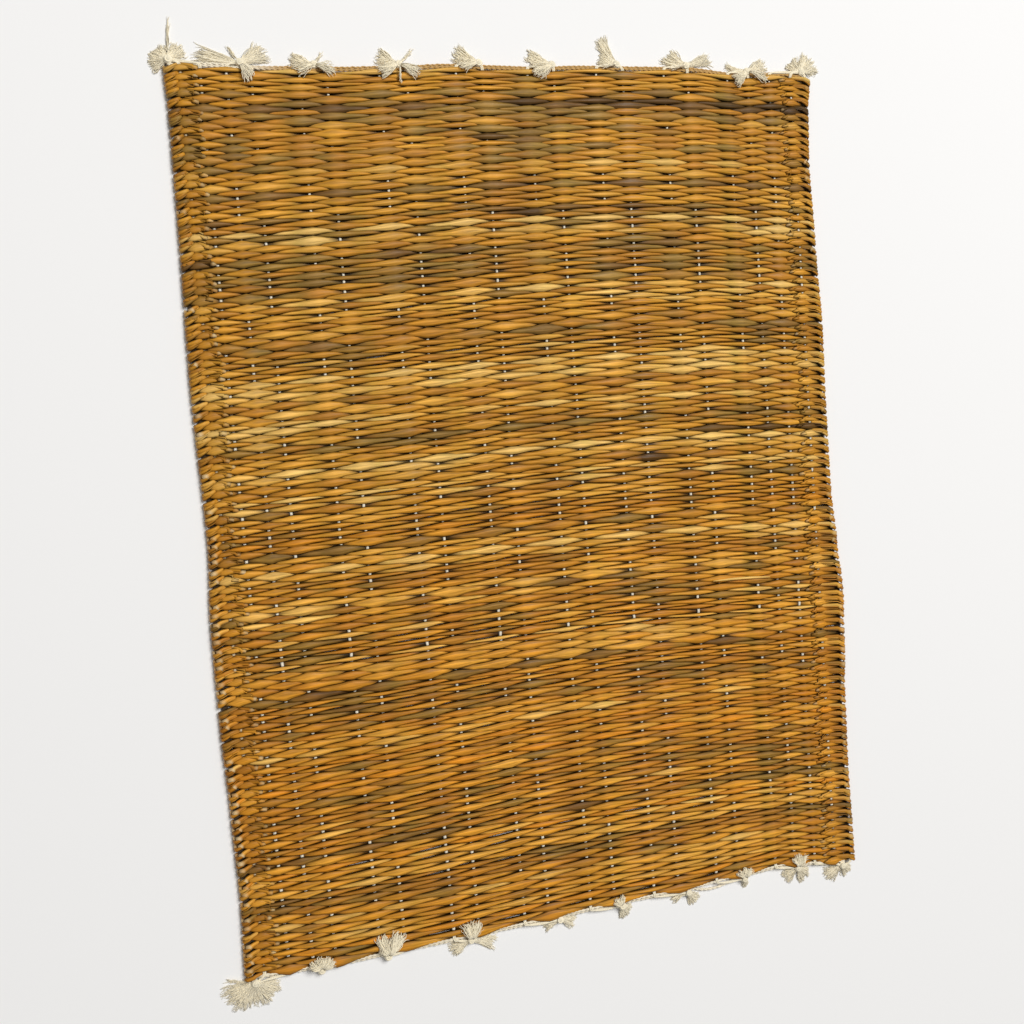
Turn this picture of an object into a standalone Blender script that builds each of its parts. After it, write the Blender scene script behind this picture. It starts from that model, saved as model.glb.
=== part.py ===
# A hand-woven rush placemat, lying flat.
# Rush stems run from side to side over and under cotton warp threads.
# A cotton heading cord runs along each end, and the warp ends are knotted there into frayed tufts.
# The origin is the middle of the flat underside, +Y runs along the warps and +Z is up.

import math
import random
from collections import namedtuple

import bmesh
import bpy
from mathutils import Vector

MM = 0.001

# The mat's driving sizes.
WIDTH = 350 * MM
LENGTH = 450 * MM
STEM_ROWS = 210

# Heights above the surface that the mat lies on.
CROWN_HEIGHT = 4.6 * MM
HOLLOW_HEIGHT = 2.9 * MM
END_RIM_HEIGHT = 2.6 * MM
SIDE_RIM_HEIGHT = 2.9 * MM
CROWN_UNEVENNESS = 0.12 * MM
ROW_UNEVENNESS = 0.12
STEM_TURN_REACH = 0.45 * MM
SELVEDGE_CREST_INSET = 2.3 * MM
SELVEDGE_CREST_DROP = 0.2 * MM

# Where the warp threads run at the top end, in millimetres from the mat's left side.
# They lie in pairs, a narrow gap and then a wide one, and closer together in both side borders.
WARPS_AT_TOP = (
    6.8, 16.1, 28.5, 40.4, 63.8, 77.3, 104.0, 118.0, 144.0, 158.0,
    182.5, 197.0, 221.0, 236.0, 260.0, 274.0, 297.8, 310.4, 323.6, 336.8,
)
WARP_LEAN = 6.2 * MM
WARP_LEAN_CURVE = 1.8
BORDER_WIDTH = 16 * MM

# The outline: how far each edge strays, at places along it, both in millimetres.
EdgePoint = namedtuple("EdgePoint", "along stray")
TOP_EDGE = tuple(EdgePoint(*row) for row in (
    (0, 0.5), (20, 0.0), (50, -1.0), (80, -1.0), (110, 0.0), (140, 1.5), (185, 1.0),
    (215, 2.0), (275, 2.0), (305, -0.5), (335, 0.5), (350, -1.0),
))
BOTTOM_EDGE = tuple(EdgePoint(*row) for row in (
    (0, -0.5), (20, -1.5), (50, -2.3), (80, -1.5), (110, -1.5), (140, -0.5), (170, 0.5),
    (215, 1.5), (250, 2.0), (275, 3.5), (305, 4.8), (320, 3.0), (335, 0.8), (350, 0.0),
))
LEFT_EDGE = tuple(EdgePoint(*row) for row in (
    (0, 0.2), (41, 1.2), (86, 0.2), (131, -1.2), (176, -1.5), (221, 0.6), (296, -1.0),
    (386, 0.0), (431, 0.2), (450, -0.5),
))
RIGHT_EDGE = tuple(EdgePoint(*row) for row in (
    (0, 0.0), (56, -0.8), (101, -0.2), (131, 1.2), (161, 2.3), (191, 0.0), (221, -2.1),
    (266, -2.2), (311, -1.7), (356, -3.2), (401, -4.3), (431, -3.2), (450, -1.0),
))

# The rows of stems are beaten in an arch. How far they rise in the middle and at the right border,
# in millimetres, at heights up the mat.
Bow = namedtuple("Bow", "height middle right")
ROW_BOWS = tuple(Bow(*row) for row in (
    (50, 5.4, 2.6), (100, 4.8, 0.6), (150, 3.2, -1.4), (200, 3.6, -0.8),
    (250, 4.4, 0.8), (300, 5.5, 2.0), (350, 6.1, 1.4), (400, 6.0, 2.2),
))

# The arch's shape: the share of its rise at places across the mat, in millimetres.
ARCH = tuple(EdgePoint(*row) for row in (
    (16, 0), (77, 0.36), (118, 0.63), (158, 0.9), (205, 1), (236, 0.97), (274, 0.74), (310, 0.32), (337, 0),
))
ARCH_FOOT = 16 * MM
ARCH_TOP = 205 * MM
ARCH_END = 337 * MM

# The heading cords, which lie against the first and the last stem.
CORD_RADIUS = 0.75 * MM
CORD_GAP = 0.7 * MM
CORD_HEIGHT = 0.7 * MM
CORD_STEP = 10 * MM
CORD_START = 1 * MM
CORD_STOP = WIDTH - 6 * MM
CordSlack = namedtuple("CordSlack", "first last depth")
BOTTOM_CORD_SLACK = CordSlack(247 * MM, 276 * MM, 2.6 * MM)

# The knots at the roots of the tufts, as low drums of two tiers that sit over the cord.
KNOT_RADIUS = 1.9 * MM
KNOT_END_RADIUS = 1.35 * MM
KNOT_OUTSET = 2.5 * MM
KNOT_LEVELS = (1.7 * MM, 3.0 * MM, 4.4 * MM)
KNOT_WIDEST_FACE = math.radians(40)
SMALLEST_FACE = math.radians(0.01)
LOCK_WIDEST_ROOT = math.radians(12)

# The frayed locks of the tufts: each leaves its knot level, bends at a shoulder and then lies flat.
LOCK_WIDTH = 1.35 * MM
LOCK_DEPTH = 0.9 * MM
LOCK_FILL = 0.72
LOCK_SHOULDER = 4.0 * MM
SHOULDER_SIZE = 0.85
SHOULDER_FOOT = 1.1 * MM
LONG_LOCK = 12 * MM
LOCK_TIP_SIZE = 0.9
SHORTER_LOCK = 0.88
LYING_ON_MAT = CROWN_HEIGHT + 0.65 * MM
SHOULDER_OVER_MAT = 0.35 * MM

# Each fan is a number of locks between two headings, in degrees anticlockwise from +X.
# Headings from 0 to 180 point towards the top end. The reach is in millimetres from the knot.
# A fan lies either on the mat or on the surface beside it.
Fan = namedtuple("Fan", "first last locks reach on_mat")
Tuft = namedtuple("Tuft", "along shift fans")
TOP_TUFTS = (
    Tuft(1.5, 0.0, (Fan(24, 62, 4, 10, False), Fan(84, 84, 1, 20, False),
                    Fan(106, 142, 3, 8, False), Fan(158, 214, 5, 9, False))),
    Tuft(35.3, 0.0, (Fan(12, 44, 4, 15, False), Fan(122, 122, 1, 10, False),
                     Fan(161, 172, 3, 22, False), Fan(-68, -54, 2, 10, True))),
    Tuft(71.3, 0.0, (Fan(152, 172, 4, 12, False), Fan(-168, -150, 2, 11, True),
                     Fan(55, 55, 1, 9, False), Fan(-24, -12, 2, 11, True))),
    Tuft(114.4, 0.0, (Fan(140, 171, 4, 12, False), Fan(-166, -146, 3, 12, True), Fan(45, 45, 1, 12, False),
                      Fan(-92, -92, 1, 10, True), Fan(-38, -18, 3, 11, True))),
    Tuft(156.5, 0.0, (Fan(142, 170, 4, 14, False), Fan(-170, -158, 2, 11, True))),
    Tuft(196.3, 0.0, (Fan(146, 171, 4, 14, False), Fan(-170, -140, 4, 12, True))),
    Tuft(233.0, 0.0, (Fan(112, 129, 4, 16, False), Fan(145, 170, 3, 10, False), Fan(-168, -168, 1, 9, True))),
    Tuft(273.3, 0.0, (Fan(128, 148, 3, 11, False), Fan(162, 172, 2, 14, False),
                      Fan(-165, -165, 1, 11, True), Fan(10, 24, 3, 17, False))),
    Tuft(310.1, 0.0, (Fan(-152, -130, 3, 11, True), Fan(163, 172, 2, 12, False),
                      Fan(10, 34, 4, 14, False), Fan(-28, -16, 2, 12, True))),
    Tuft(344.0, 0.0, (Fan(38, 76, 4, 12, False), Fan(10, 24, 2, 12, False), Fan(108, 150, 3, 9, False))),
)
BOTTOM_TUFTS = (
    Tuft(4.5, -1.4, (Fan(-172, -118, 6, 17, False), Fan(-106, -76, 3, 13, False),
                     Fan(-60, -14, 4, 14, False), Fan(169, 169, 1, 15, False))),
    Tuft(38.1, 0.0, (Fan(32, 150, 8, 8, True),)),
    Tuft(72.8, 0.0, (Fan(98, 116, 3, 13, True), Fan(50, 70, 4, 14, True), Fan(136, 136, 1, 7, True))),
    Tuft(117.4, 0.0, (Fan(60, 110, 5, 11, True), Fan(-170, -142, 5, 12, False), Fan(-28, -8, 3, 15, False))),
    Tuft(167.4, 0.0, (Fan(-170, -146, 3, 10, False), Fan(-34, -10, 3, 10, False))),
    Tuft(203.8, 0.0, (Fan(95, 145, 4, 7, True), Fan(-90, -50, 4, 8, False), Fan(-26, -12, 2, 7, False))),
    Tuft(243.7, 0.0, (Fan(-170, -156, 3, 10, False), Fan(-72, -34, 5, 9, False))),
    Tuft(278.7, 0.0, (Fan(58, 130, 5, 7, True), Fan(-80, -58, 2, 6, False))),
    Tuft(313.0, 0.0, (Fan(58, 120, 4, 9, True), Fan(-160, -128, 3, 10, False), Fan(-70, -22, 4, 10, False))),
    Tuft(342.0, 0.0, (Fan(-164, -130, 4, 12, False), Fan(-70, -18, 4, 8, False))),
)


def clear_scene():
    for item in list(bpy.data.objects):
        bpy.data.objects.remove(item)


def plain_material(name, colour, roughness):
    material = bpy.data.materials.new(name)
    material.use_nodes = True
    shader = material.node_tree.nodes["Principled BSDF"]
    shader.inputs["Base Color"].default_value = (*colour, 1.0)
    shader.inputs["Roughness"].default_value = roughness
    shader.inputs["Metallic"].default_value = 0.0
    return material


def add_mesh_object(name, shape, material):
    mesh = bpy.data.meshes.new(name)
    shape.to_mesh(mesh)
    shape.free()
    mesh.materials.append(material)
    thing = bpy.data.objects.new(name, mesh)
    bpy.context.scene.collection.objects.link(thing)
    return thing


def eased_through(table, place):
    """A table's value at a place in millimetres, eased from one of its rows to the next."""
    if place <= table[0].along:
        return table[0].stray
    for before, after in zip(table, table[1:]):
        if place <= after.along:
            share = (place - before.along) / (after.along - before.along)
            eased = share * share * (3 - 2 * share)
            return before.stray + (after.stray - before.stray) * eased
    return table[-1].stray


def stray_at(edge, along):
    """How far an edge strays at a place along it, both in metres."""
    return eased_through(edge, along / MM) * MM


def top_y(x):
    return LENGTH + stray_at(TOP_EDGE, x)


def bottom_y(x):
    return stray_at(BOTTOM_EDGE, x)


def bow_rise(bow, x):
    """How far a row at the bow's height has risen at x since it left the left border."""
    ramp = min(1.0, max(0.0, (x - ARCH_TOP) / (ARCH_END - ARCH_TOP)))
    return (bow.middle * eased_through(ARCH, x / MM) + bow.right * ramp * ramp * (3 - 2 * ramp)) * MM


def row_y(share, x):
    """The y of a row at x, at its share of the mat's length: along the edges at both ends, bowed between them."""
    first, last = bottom_y(ARCH_FOOT), top_y(ARCH_FOOT)
    rises = [(0.0, bottom_y(x) - first)]
    rises += [(bow.height * MM, bow_rise(bow, x)) for bow in ROW_BOWS]
    rises.append((LENGTH, top_y(x) - last))
    level = LENGTH * share
    for (low, before), (high, after) in zip(rises, rises[1:]):
        if level <= high:
            break
    rise = before + (after - before) * (level - low) / (high - low)
    return first + (last - first) * share + rise


def warp_x(at_top, y):
    """A warp thread's x at height y up the mat: the threads lean to the right towards the bottom end."""
    fall = max(0.0, 1 - y / LENGTH) ** WARP_LEAN_CURVE
    held = min(1.0, at_top / BORDER_WIDTH)
    return at_top + WARP_LEAN * fall * held * (1 - at_top / WIDTH)


def in_frame(x, y, z):
    """A point given from the mat's bottom left corner, in the part's own frame."""
    return Vector((x - WIDTH / 2, y - LENGTH / 2, z))


def column_x(column, column_count, level_y, turn):
    """The x of a column of the cloth's points: at each side a rim and a crest, and between them the warps."""
    left = stray_at(LEFT_EDGE, level_y)
    right = WIDTH + stray_at(RIGHT_EDGE, level_y)
    if column == 0:
        return left - turn
    if column == 1:
        return left + SELVEDGE_CREST_INSET
    if column == column_count - 2:
        return right - SELVEDGE_CREST_INSET
    if column == column_count - 1:
        return right - turn
    return warp_x(WARPS_AT_TOP[column - 2] * MM, level_y)


def lay_out_grid(grid_verts, row_lines, column_count):
    """Puts each crossing of a stem and a warp in place, and returns those where the stem goes under."""
    dice = random.Random(7)
    hollows = []
    row_share = [0.0] + [
        (row + 0.5 + dice.uniform(-ROW_UNEVENNESS, ROW_UNEVENNESS)) / STEM_ROWS for row in range(STEM_ROWS)
    ] + [1.0]
    for line in range(row_lines):
        level_y = LENGTH * row_share[line]
        turn = STEM_TURN_REACH * (1 if line % 2 else -1)
        for column in range(column_count):
            x = column_x(column, column_count, level_y, turn)
            y = row_y(row_share[line], x)
            over = (line + column) % 2 == 0
            if line in (0, row_lines - 1):
                z = END_RIM_HEIGHT
            elif column in (0, column_count - 1):
                z = SIDE_RIM_HEIGHT
            elif over:
                z = CROWN_HEIGHT + dice.uniform(-CROWN_UNEVENNESS, CROWN_UNEVENNESS)
            else:
                z = HOLLOW_HEIGHT
            if over and column in (1, column_count - 2):
                z -= SELVEDGE_CREST_DROP
            vert = grid_verts[line * column_count + column]
            vert.co = in_frame(x, y, z)
            if not over:
                hollows.append(vert)
    return hollows


def woven_panel(material):
    """The cloth: one crown for each place where a stem passes over a warp, and a flat underside."""
    row_lines = STEM_ROWS + 2
    column_count = len(WARPS_AT_TOP) + 4
    shape = bmesh.new()
    bmesh.ops.create_grid(shape, x_segments=column_count - 1, y_segments=row_lines - 1, size=1.0)
    grid_verts = sorted(shape.verts, key=lambda v: (round(v.co.y, 5), round(v.co.x, 5)))
    hollows = lay_out_grid(grid_verts, row_lines, column_count)
    bmesh.ops.connect_verts(shape, verts=hollows)
    rim = [edge for edge in shape.edges if edge.is_boundary]
    walls = bmesh.ops.extrude_edge_only(shape, edges=rim)["geom"]
    for item in walls:
        if isinstance(item, bmesh.types.BMVert):
            item.co.z = 0.0
    foot = [edge for edge in shape.edges if edge.is_boundary]
    bmesh.ops.contextual_create(shape, geom=foot)
    bmesh.ops.triangulate(shape, faces=[face for face in shape.faces if len(face.verts) == 4])
    bmesh.ops.recalc_face_normals(shape, faces=shape.faces)
    return add_mesh_object("woven_panel", shape, material)


def heading_cord(name, edge_y, outward, slack, material):
    """A round cotton cord along one end of the mat, from one corner knot to the other."""
    steps = round((CORD_STOP - CORD_START) / CORD_STEP)
    points = []
    for step in range(steps + 1):
        x = CORD_START + (CORD_STOP - CORD_START) * step / steps
        away = CORD_GAP + CORD_RADIUS
        if slack and slack.first < x < slack.last:
            away += slack.depth * math.sin(math.pi * (x - slack.first) / (slack.last - slack.first))
        points.append(in_frame(x, edge_y(x) + outward * away, CORD_HEIGHT))
    line = bpy.data.curves.new(name, "CURVE")
    line.dimensions = "3D"
    line.bevel_depth = CORD_RADIUS
    line.bevel_resolution = 1
    line.use_fill_caps = True
    spline = line.splines.new("POLY")
    spline.points.add(len(points) - 1)
    for place, point in zip(spline.points, points):
        place.co = (*point, 1.0)
    line.materials.append(material)
    thing = bpy.data.objects.new(name, line)
    bpy.context.scene.collection.objects.link(thing)
    return thing


def lock_slots(tuft):
    """The tuft's locks in order of heading, each with the angles where its root starts and ends."""
    locks = []
    for fan in tuft.fans:
        for number in range(fan.locks):
            share = number / max(1, fan.locks - 1)
            heading = math.radians(fan.first + (fan.last - fan.first) * share) % math.tau
            reach = fan.reach * MM * (SHORTER_LOCK if number % 2 else 1)
            locks.append((heading, reach, fan.on_mat))
    locks.sort()
    slots = []
    for number, (heading, reach, on_mat) in enumerate(locks):
        gap_before = (heading - locks[number - 1][0]) % math.tau or math.tau
        gap_after = (locks[(number + 1) % len(locks)][0] - heading) % math.tau or math.tau
        half_before = min(LOCK_WIDEST_ROOT, gap_before / 2)
        half_after = min(LOCK_WIDEST_ROOT, gap_after / 2)
        slots.append((heading, reach, on_mat, heading - half_before, heading + half_after))
    return slots


def knot_corners(slots):
    """The angles of the knot's corners, and which lock grows from the face after each corner."""
    corners = []
    for number, slot in enumerate(slots):
        start, stop = slot[3], slot[4]
        corners.append((start, number))
        next_start = slots[(number + 1) % len(slots)][3]
        gap = (next_start - stop) % math.tau
        if SMALLEST_FACE < gap < math.tau - SMALLEST_FACE:
            fillers = max(1, math.ceil(gap / KNOT_WIDEST_FACE))
            for filler in range(fillers):
                corners.append((stop + gap * filler / fillers, None))
    return corners


def grow_lock(shape, face, centre, slot):
    """Draws one lock out of a side face of the knot, in two or three lengths, down to where it lies."""
    heading, reach, on_mat, start, stop = slot
    away = Vector((math.cos(heading), math.sin(heading), 0))
    across = Vector((-away.y, away.x, 0))
    lying = LYING_ON_MAT if on_mat else 0.0
    shoulder_foot = lying + SHOULDER_OVER_MAT if on_mat else SHOULDER_FOOT
    stations = [(LOCK_SHOULDER, shoulder_foot, SHOULDER_SIZE), (reach, lying, LOCK_TIP_SIZE)]
    if reach >= LONG_LOCK:
        stations.insert(1, ((LOCK_SHOULDER + reach) / 2, lying, 1.0))
    for distance, foot, share in stations:
        half_width = share * min(LOCK_WIDTH, LOCK_FILL * distance * (stop - start)) / 2
        face = bmesh.ops.extrude_discrete_faces(shape, faces=[face])["faces"][0]
        middle = centre + away * distance
        face_middle = face.calc_center_median()
        for vert in face.verts:
            side = 1 if (vert.co - face_middle).dot(across) > 0 else -1
            level = foot + (LOCK_DEPTH * share if vert.co.z > face_middle.z else 0.0)
            vert.co = Vector((middle.x, middle.y, level)) + across * side * half_width


def knotted_tuft(name, tuft, edge_y, outward, material):
    """A knot with its frayed warp ends fanned out round it."""
    x = tuft.along * MM
    centre = in_frame(x, edge_y(max(0.0, x)) + outward * KNOT_OUTSET + tuft.shift * MM, 0)
    slots = lock_slots(tuft)
    corners = knot_corners(slots)
    shape = bmesh.new()

    def ring(level, radius):
        return [
            shape.verts.new(centre + Vector((math.cos(angle) * radius, math.sin(angle) * radius, level)))
            for angle, _ in corners
        ]

    rings = [
        ring(KNOT_LEVELS[0], KNOT_END_RADIUS),
        ring(KNOT_LEVELS[1], KNOT_RADIUS),
        ring(KNOT_LEVELS[2], KNOT_END_RADIUS),
    ]
    shape.faces.new(reversed(rings[0]))
    shape.faces.new(rings[2])
    count = len(corners)
    roots = []
    for tier, (lower, upper) in enumerate(zip(rings, rings[1:])):
        for number, (_, lock) in enumerate(corners):
            after = (number + 1) % count
            face = shape.faces.new((lower[number], lower[after], upper[after], upper[number]))
            if lock is not None and tier == (1 if slots[lock][2] else 0):
                roots.append((face, slots[lock]))
    shape.normal_update()
    for face, slot in roots:
        grow_lock(shape, face, centre, slot)
    bmesh.ops.recalc_face_normals(shape, faces=shape.faces)
    return add_mesh_object(name, shape, material)


def build():
    clear_scene()
    rush = plain_material("rush", (0.50, 0.29, 0.085), 0.55)
    cotton = plain_material("cotton", (0.78, 0.70, 0.56), 0.92)
    woven_panel(rush)
    heading_cord("heading_cord_top", top_y, 1, None, cotton)
    heading_cord("heading_cord_bottom", bottom_y, -1, BOTTOM_CORD_SLACK, cotton)
    for number, tuft in enumerate(TOP_TUFTS, start=1):
        knotted_tuft(f"tuft_top_{number:02d}", tuft, top_y, 1, cotton)
    for number, tuft in enumerate(BOTTOM_TUFTS, start=1):
        knotted_tuft(f"tuft_bottom_{number:02d}", tuft, bottom_y, -1, cotton)


build()
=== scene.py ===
# Dresses the woven rush placemat: its stems, warp threads, heading cords and frayed tufts.
# The weave and tufts are laid out in millimetres from the mat's bottom left corner, as in the solids.

import math
import random

import bmesh
import bpy
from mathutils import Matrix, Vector, noise


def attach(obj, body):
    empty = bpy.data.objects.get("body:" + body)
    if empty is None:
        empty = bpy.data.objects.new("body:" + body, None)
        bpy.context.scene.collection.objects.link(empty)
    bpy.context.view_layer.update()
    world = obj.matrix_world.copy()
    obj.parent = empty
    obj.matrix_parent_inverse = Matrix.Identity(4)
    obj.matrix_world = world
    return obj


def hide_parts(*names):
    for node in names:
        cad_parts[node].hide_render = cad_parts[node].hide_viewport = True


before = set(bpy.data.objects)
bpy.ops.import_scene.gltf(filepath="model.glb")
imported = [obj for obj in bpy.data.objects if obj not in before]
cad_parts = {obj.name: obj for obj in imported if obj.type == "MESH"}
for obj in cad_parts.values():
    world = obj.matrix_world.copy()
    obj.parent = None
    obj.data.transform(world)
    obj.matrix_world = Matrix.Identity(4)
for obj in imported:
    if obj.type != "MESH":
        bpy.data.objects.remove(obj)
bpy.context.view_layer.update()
mm = 0.001
print("frame loaded")


# the mat's layout, the same as in the solids

mat = {
    "width": 350.0,
    "length": 450.0,
    "stemRows": 210,
    "rowUnevenness": 0.12,
    "rowSeed": 7,
    "warpsAtTop": (
        6.8, 16.1, 28.5, 40.4, 63.8, 77.3, 104.0, 118.0, 144.0, 158.0,
        182.5, 197.0, 221.0, 236.0, 260.0, 274.0, 297.8, 310.4, 323.6, 336.8,
    ),
    "warpLean": 6.2,
    "leanCurve": 1.8,
    "borderWidth": 16.0,
    "edgeWarpInset": 2.8,
    "topEdge": (
        (0, 0.5), (20, 0.0), (50, -1.0), (80, -1.0), (110, 0.0), (140, 1.5), (185, 1.0),
        (215, 2.0), (275, 2.0), (305, -0.5), (335, 0.5), (350, -1.0),
    ),
    "bottomEdge": (
        (0, -0.5), (20, -1.5), (50, -2.3), (80, -1.5), (110, -1.5), (140, -0.5), (170, 0.5),
        (215, 1.5), (250, 2.0), (275, 3.5), (305, 4.8), (320, 3.0), (335, 0.8), (350, 0.0),
    ),
    "leftEdge": (
        (0, 0.2), (41, 1.2), (86, 0.2), (131, -1.2), (176, -1.5), (221, 0.6), (296, -1.0),
        (386, 0.0), (431, 0.2), (450, -0.5),
    ),
    "rightEdge": (
        (0, 0.0), (56, -0.8), (101, -0.2), (131, 1.2), (161, 2.3), (191, 0.0), (221, -2.1),
        (266, -2.2), (311, -1.7), (356, -3.2), (401, -4.3), (431, -3.2), (450, -1.0),
    ),
    # the rows are beaten in an arch: (height up the mat, rise in the middle, rise at the right border)
    "bows": (
        (50, 5.4, 2.6), (100, 4.8, 0.6), (150, 3.2, -1.4), (200, 3.6, -0.8),
        (250, 4.4, 0.8), (300, 5.5, 2.0), (350, 6.1, 1.4), (400, 6.0, 2.2),
    ),
    "archShape": (
        (16, 0), (77, 0.36), (118, 0.63), (158, 0.9), (205, 1),
        (236, 0.97), (274, 0.74), (310, 0.32), (337, 0),
    ),
    "archFoot": 16.0,
    "archTop": 205.0,
    "archEnd": 337.0,
    "thicknessSeed": 23,
    "thickness": 0.2,  # how much the stems' thickness varies, as a share
    "thicknessRange": (0.6, 1.45),
    "thicknessWindow": 9,  # rows over which the thick and thin ones even out
}


def easedThrough(places, along):
    if along <= places[0][0]:
        return places[0][1]
    for (start, before), (stop, after) in zip(places, places[1:]):
        if along <= stop:
            share = (along - start) / (stop - start)
            return before + (after - before) * share * share * (3 - 2 * share)
    return places[-1][1]


def topY(x):
    return mat["length"] + easedThrough(mat["topEdge"], x)


def bottomY(x):
    return easedThrough(mat["bottomEdge"], x)


def warpX(atTop, y):
    fall = max(0.0, 1 - y / mat["length"]) ** mat["leanCurve"]
    held = min(1.0, atTop / mat["borderWidth"])
    return atTop + mat["warpLean"] * fall * held * (1 - atTop / mat["width"])


rowDice = random.Random(mat["rowSeed"])
rowShares = [
    (row + 0.5 + rowDice.uniform(-mat["rowUnevenness"], mat["rowUnevenness"])) / mat["stemRows"]
    for row in range(mat["stemRows"])
]


def rowShare(row):
    if 0 <= row < mat["stemRows"]:
        return rowShares[row]
    return (row + 0.5) / mat["stemRows"]


def stemThickness():
    # each row's thickness as a share of the mean one, and how far it pushes the row from its even place
    dice = random.Random(mat["thicknessSeed"])
    thinnest, thickest = mat["thicknessRange"]
    shares = [min(thickest, max(thinnest, dice.gauss(1, mat["thickness"]))) for _ in range(mat["stemRows"])]
    pushes = []
    edge = 0.0
    for row, share in enumerate(shares):
        pushes.append(edge + share / 2 - row - 0.5)
        edge += share
    half = mat["thicknessWindow"] // 2
    evened = []
    for row, push in enumerate(pushes):
        near = pushes[max(0, row - half):row + half + 1]
        evened.append((push - sum(near) / len(near)) * mat["length"] / mat["stemRows"])
    return shares, evened


thicknesses, rowPushes = stemThickness()


def thickness(row):
    return thicknesses[min(max(row, 0), mat["stemRows"] - 1)]


def bowRise(middle, right, x):
    # how far a row has risen at x since it left the left border
    ramp = min(1.0, max(0.0, (x - mat["archTop"]) / (mat["archEnd"] - mat["archTop"])))
    return middle * easedThrough(mat["archShape"], x) + right * ramp * ramp * (3 - 2 * ramp)


def rowY(row, x):
    first, last = bottomY(mat["archFoot"]), topY(mat["archFoot"])
    rises = [(0, bottomY(x) - first)]
    rises += [(height, bowRise(middle, right, x)) for height, middle, right in mat["bows"]]
    rises.append((mat["length"], topY(x) - last))
    level = mat["length"] * rowShare(row)
    for (low, before), (high, after) in zip(rises, rises[1:]):
        if level <= high:
            break
    rise = before + (after - before) * (level - low) / (high - low)
    push = rowPushes[row] if 0 <= row < mat["stemRows"] else 0.0
    return first + (last - first) * rowShare(row) + rise + push


def sideX(row, side):
    level = mat["length"] * rowShare(row)
    if side < 0:
        return easedThrough(mat["leftEdge"], level)
    return mat["width"] + easedThrough(mat["rightEdge"], level)


def warpPlaces(row):
    level = mat["length"] * rowShare(row)
    inner = [warpX(atTop, level) for atTop in mat["warpsAtTop"]]
    inset = mat["edgeWarpInset"]
    return [sideX(row, -1) + inset, *inner, sideX(row, 1) - inset]


# joined meshes from arrays: every strand is a tube of oval rings along its path

def pointsRound(angles):
    return [(math.cos(angle), math.sin(angle)) for angle in angles]


roundSection = {sides: pointsRound(math.tau * k / sides for k in range(sides)) for sides in (3, 5, 6, 8)}
# a stem's section is finer on its upper side and squarish below, where the stems press on each other
stemSection = pointsRound(math.radians(turn) for turn in (0, 36, 72, 108, 144, 180))
stemSection += [(-1.1, -0.9), (1.1, -0.9)]


def newShape():
    return {"points": [], "faces": [], "uvs": [], "tones": [], "caps": []}


# path has (x, y, z, half width, half height), tones has one linear colour for each of them,
# and shade, where given, paints shade into the tones: it tells how light a point is made by its x, its
# height and its place round the tube
def addTube(shape, path, tones, section, shade=None):
    sides = len(section)
    first = len(shape["points"])
    last = len(path) - 1
    along = [0.0]
    for i, (x, y, z, halfWidth, halfHeight) in enumerate(path):
        before, after = path[max(0, i - 1)], path[min(last, i + 1)]
        if i:
            along.append(along[-1] + math.dist(before[:3], (x, y, z)))
        tx, ty, tz = after[0] - before[0], after[1] - before[1], after[2] - before[2]
        level = math.hypot(tx, ty) or 1e-6
        length = math.hypot(level, tz)
        ax, ay = -ty / level * halfWidth, tx / level * halfWidth
        rise = halfHeight / (level * length)
        ux, uy, uz = -tx * tz * rise, -ty * tz * rise, level * level * rise
        for c, s in section:
            height = z + uz * s
            shape["points"].append((x + ax * c + ux * s, y + ay * c + uy * s, height))
            shape["tones"].append(shaded(tones[i], shade(x, height, s)) if shade else tones[i])
    for i in range(last):
        ring = first + i * sides
        for k in range(sides):
            n = (k + 1) % sides
            shape["faces"].append((ring + k, ring + n, ring + sides + n, ring + sides + k))
            v, w = k / sides, (k + 1) / sides
            shape["uvs"].extend((along[i], v, along[i], w, along[i + 1], w, along[i + 1], v))
    end = first + last * sides
    shape["caps"].extend((len(shape["faces"]), len(shape["faces"]) + 1))
    shape["faces"].append(tuple(first + k for k in reversed(range(sides))))
    shape["faces"].append(tuple(end + k for k in range(sides)))
    for k in reversed(range(sides)):
        shape["uvs"].extend((along[0], k / sides))
    for k in range(sides):
        shape["uvs"].extend((along[-1], k / sides))


def makePiece(name, shape, material, slotName, *nodes):
    mesh = bpy.data.meshes.new(name)
    shiftX, shiftY = mat["width"] / 2, mat["length"] / 2
    points = [((x - shiftX) * mm, (y - shiftY) * mm, z * mm) for x, y, z in shape["points"]]
    mesh.from_pydata(points, [], shape["faces"])
    uvMap = mesh.uv_layers.new(name="strand")
    uvMap.data.foreach_set("uv", shape["uvs"])
    toneLayer = mesh.color_attributes.new(name="tone", type="FLOAT_COLOR", domain="POINT")
    toneLayer.data.foreach_set("color", [value for tone in shape["tones"] for value in (*tone, 1.0)])
    mesh.shade_smooth()
    for cap in shape["caps"]:
        mesh.polygons[cap].use_smooth = False
    mesh.materials.append(material)
    piece = bpy.data.objects.new(name, mesh)
    bpy.context.scene.collection.objects.link(piece)
    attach(piece, "root")
    if nodes:
        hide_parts(*nodes)
    mesh.calc_loop_triangles()
    print(name, len(mesh.loop_triangles), "triangles")
    return piece


def smoothPath(knots, steps):
    # Catmull-Rom through the knots, with the first and last one doubled
    full = [knots[0], *knots, knots[-1]]
    path = []
    for p0, p1, p2, p3 in zip(full, full[1:], full[2:], full[3:]):
        for step in range(steps):
            t = step / steps
            path.append(tuple(
                0.5 * (2 * b + (c - a) * t + (2 * a - 5 * b + 4 * c - d) * t * t
                       + (3 * b - a - 3 * c + d) * t ** 3)
                for a, b, c, d in zip(p0, p1, p2, p3)
            ))
    path.append(tuple(knots[-1]))
    return path


def linear(red, green, blue):
    # the linear colour of an sRGB one
    shares = (red / 255, green / 255, blue / 255)
    return tuple(v / 12.92 if v <= 0.04045 else ((v + 0.055) / 1.055) ** 2.4 for v in shares)


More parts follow.
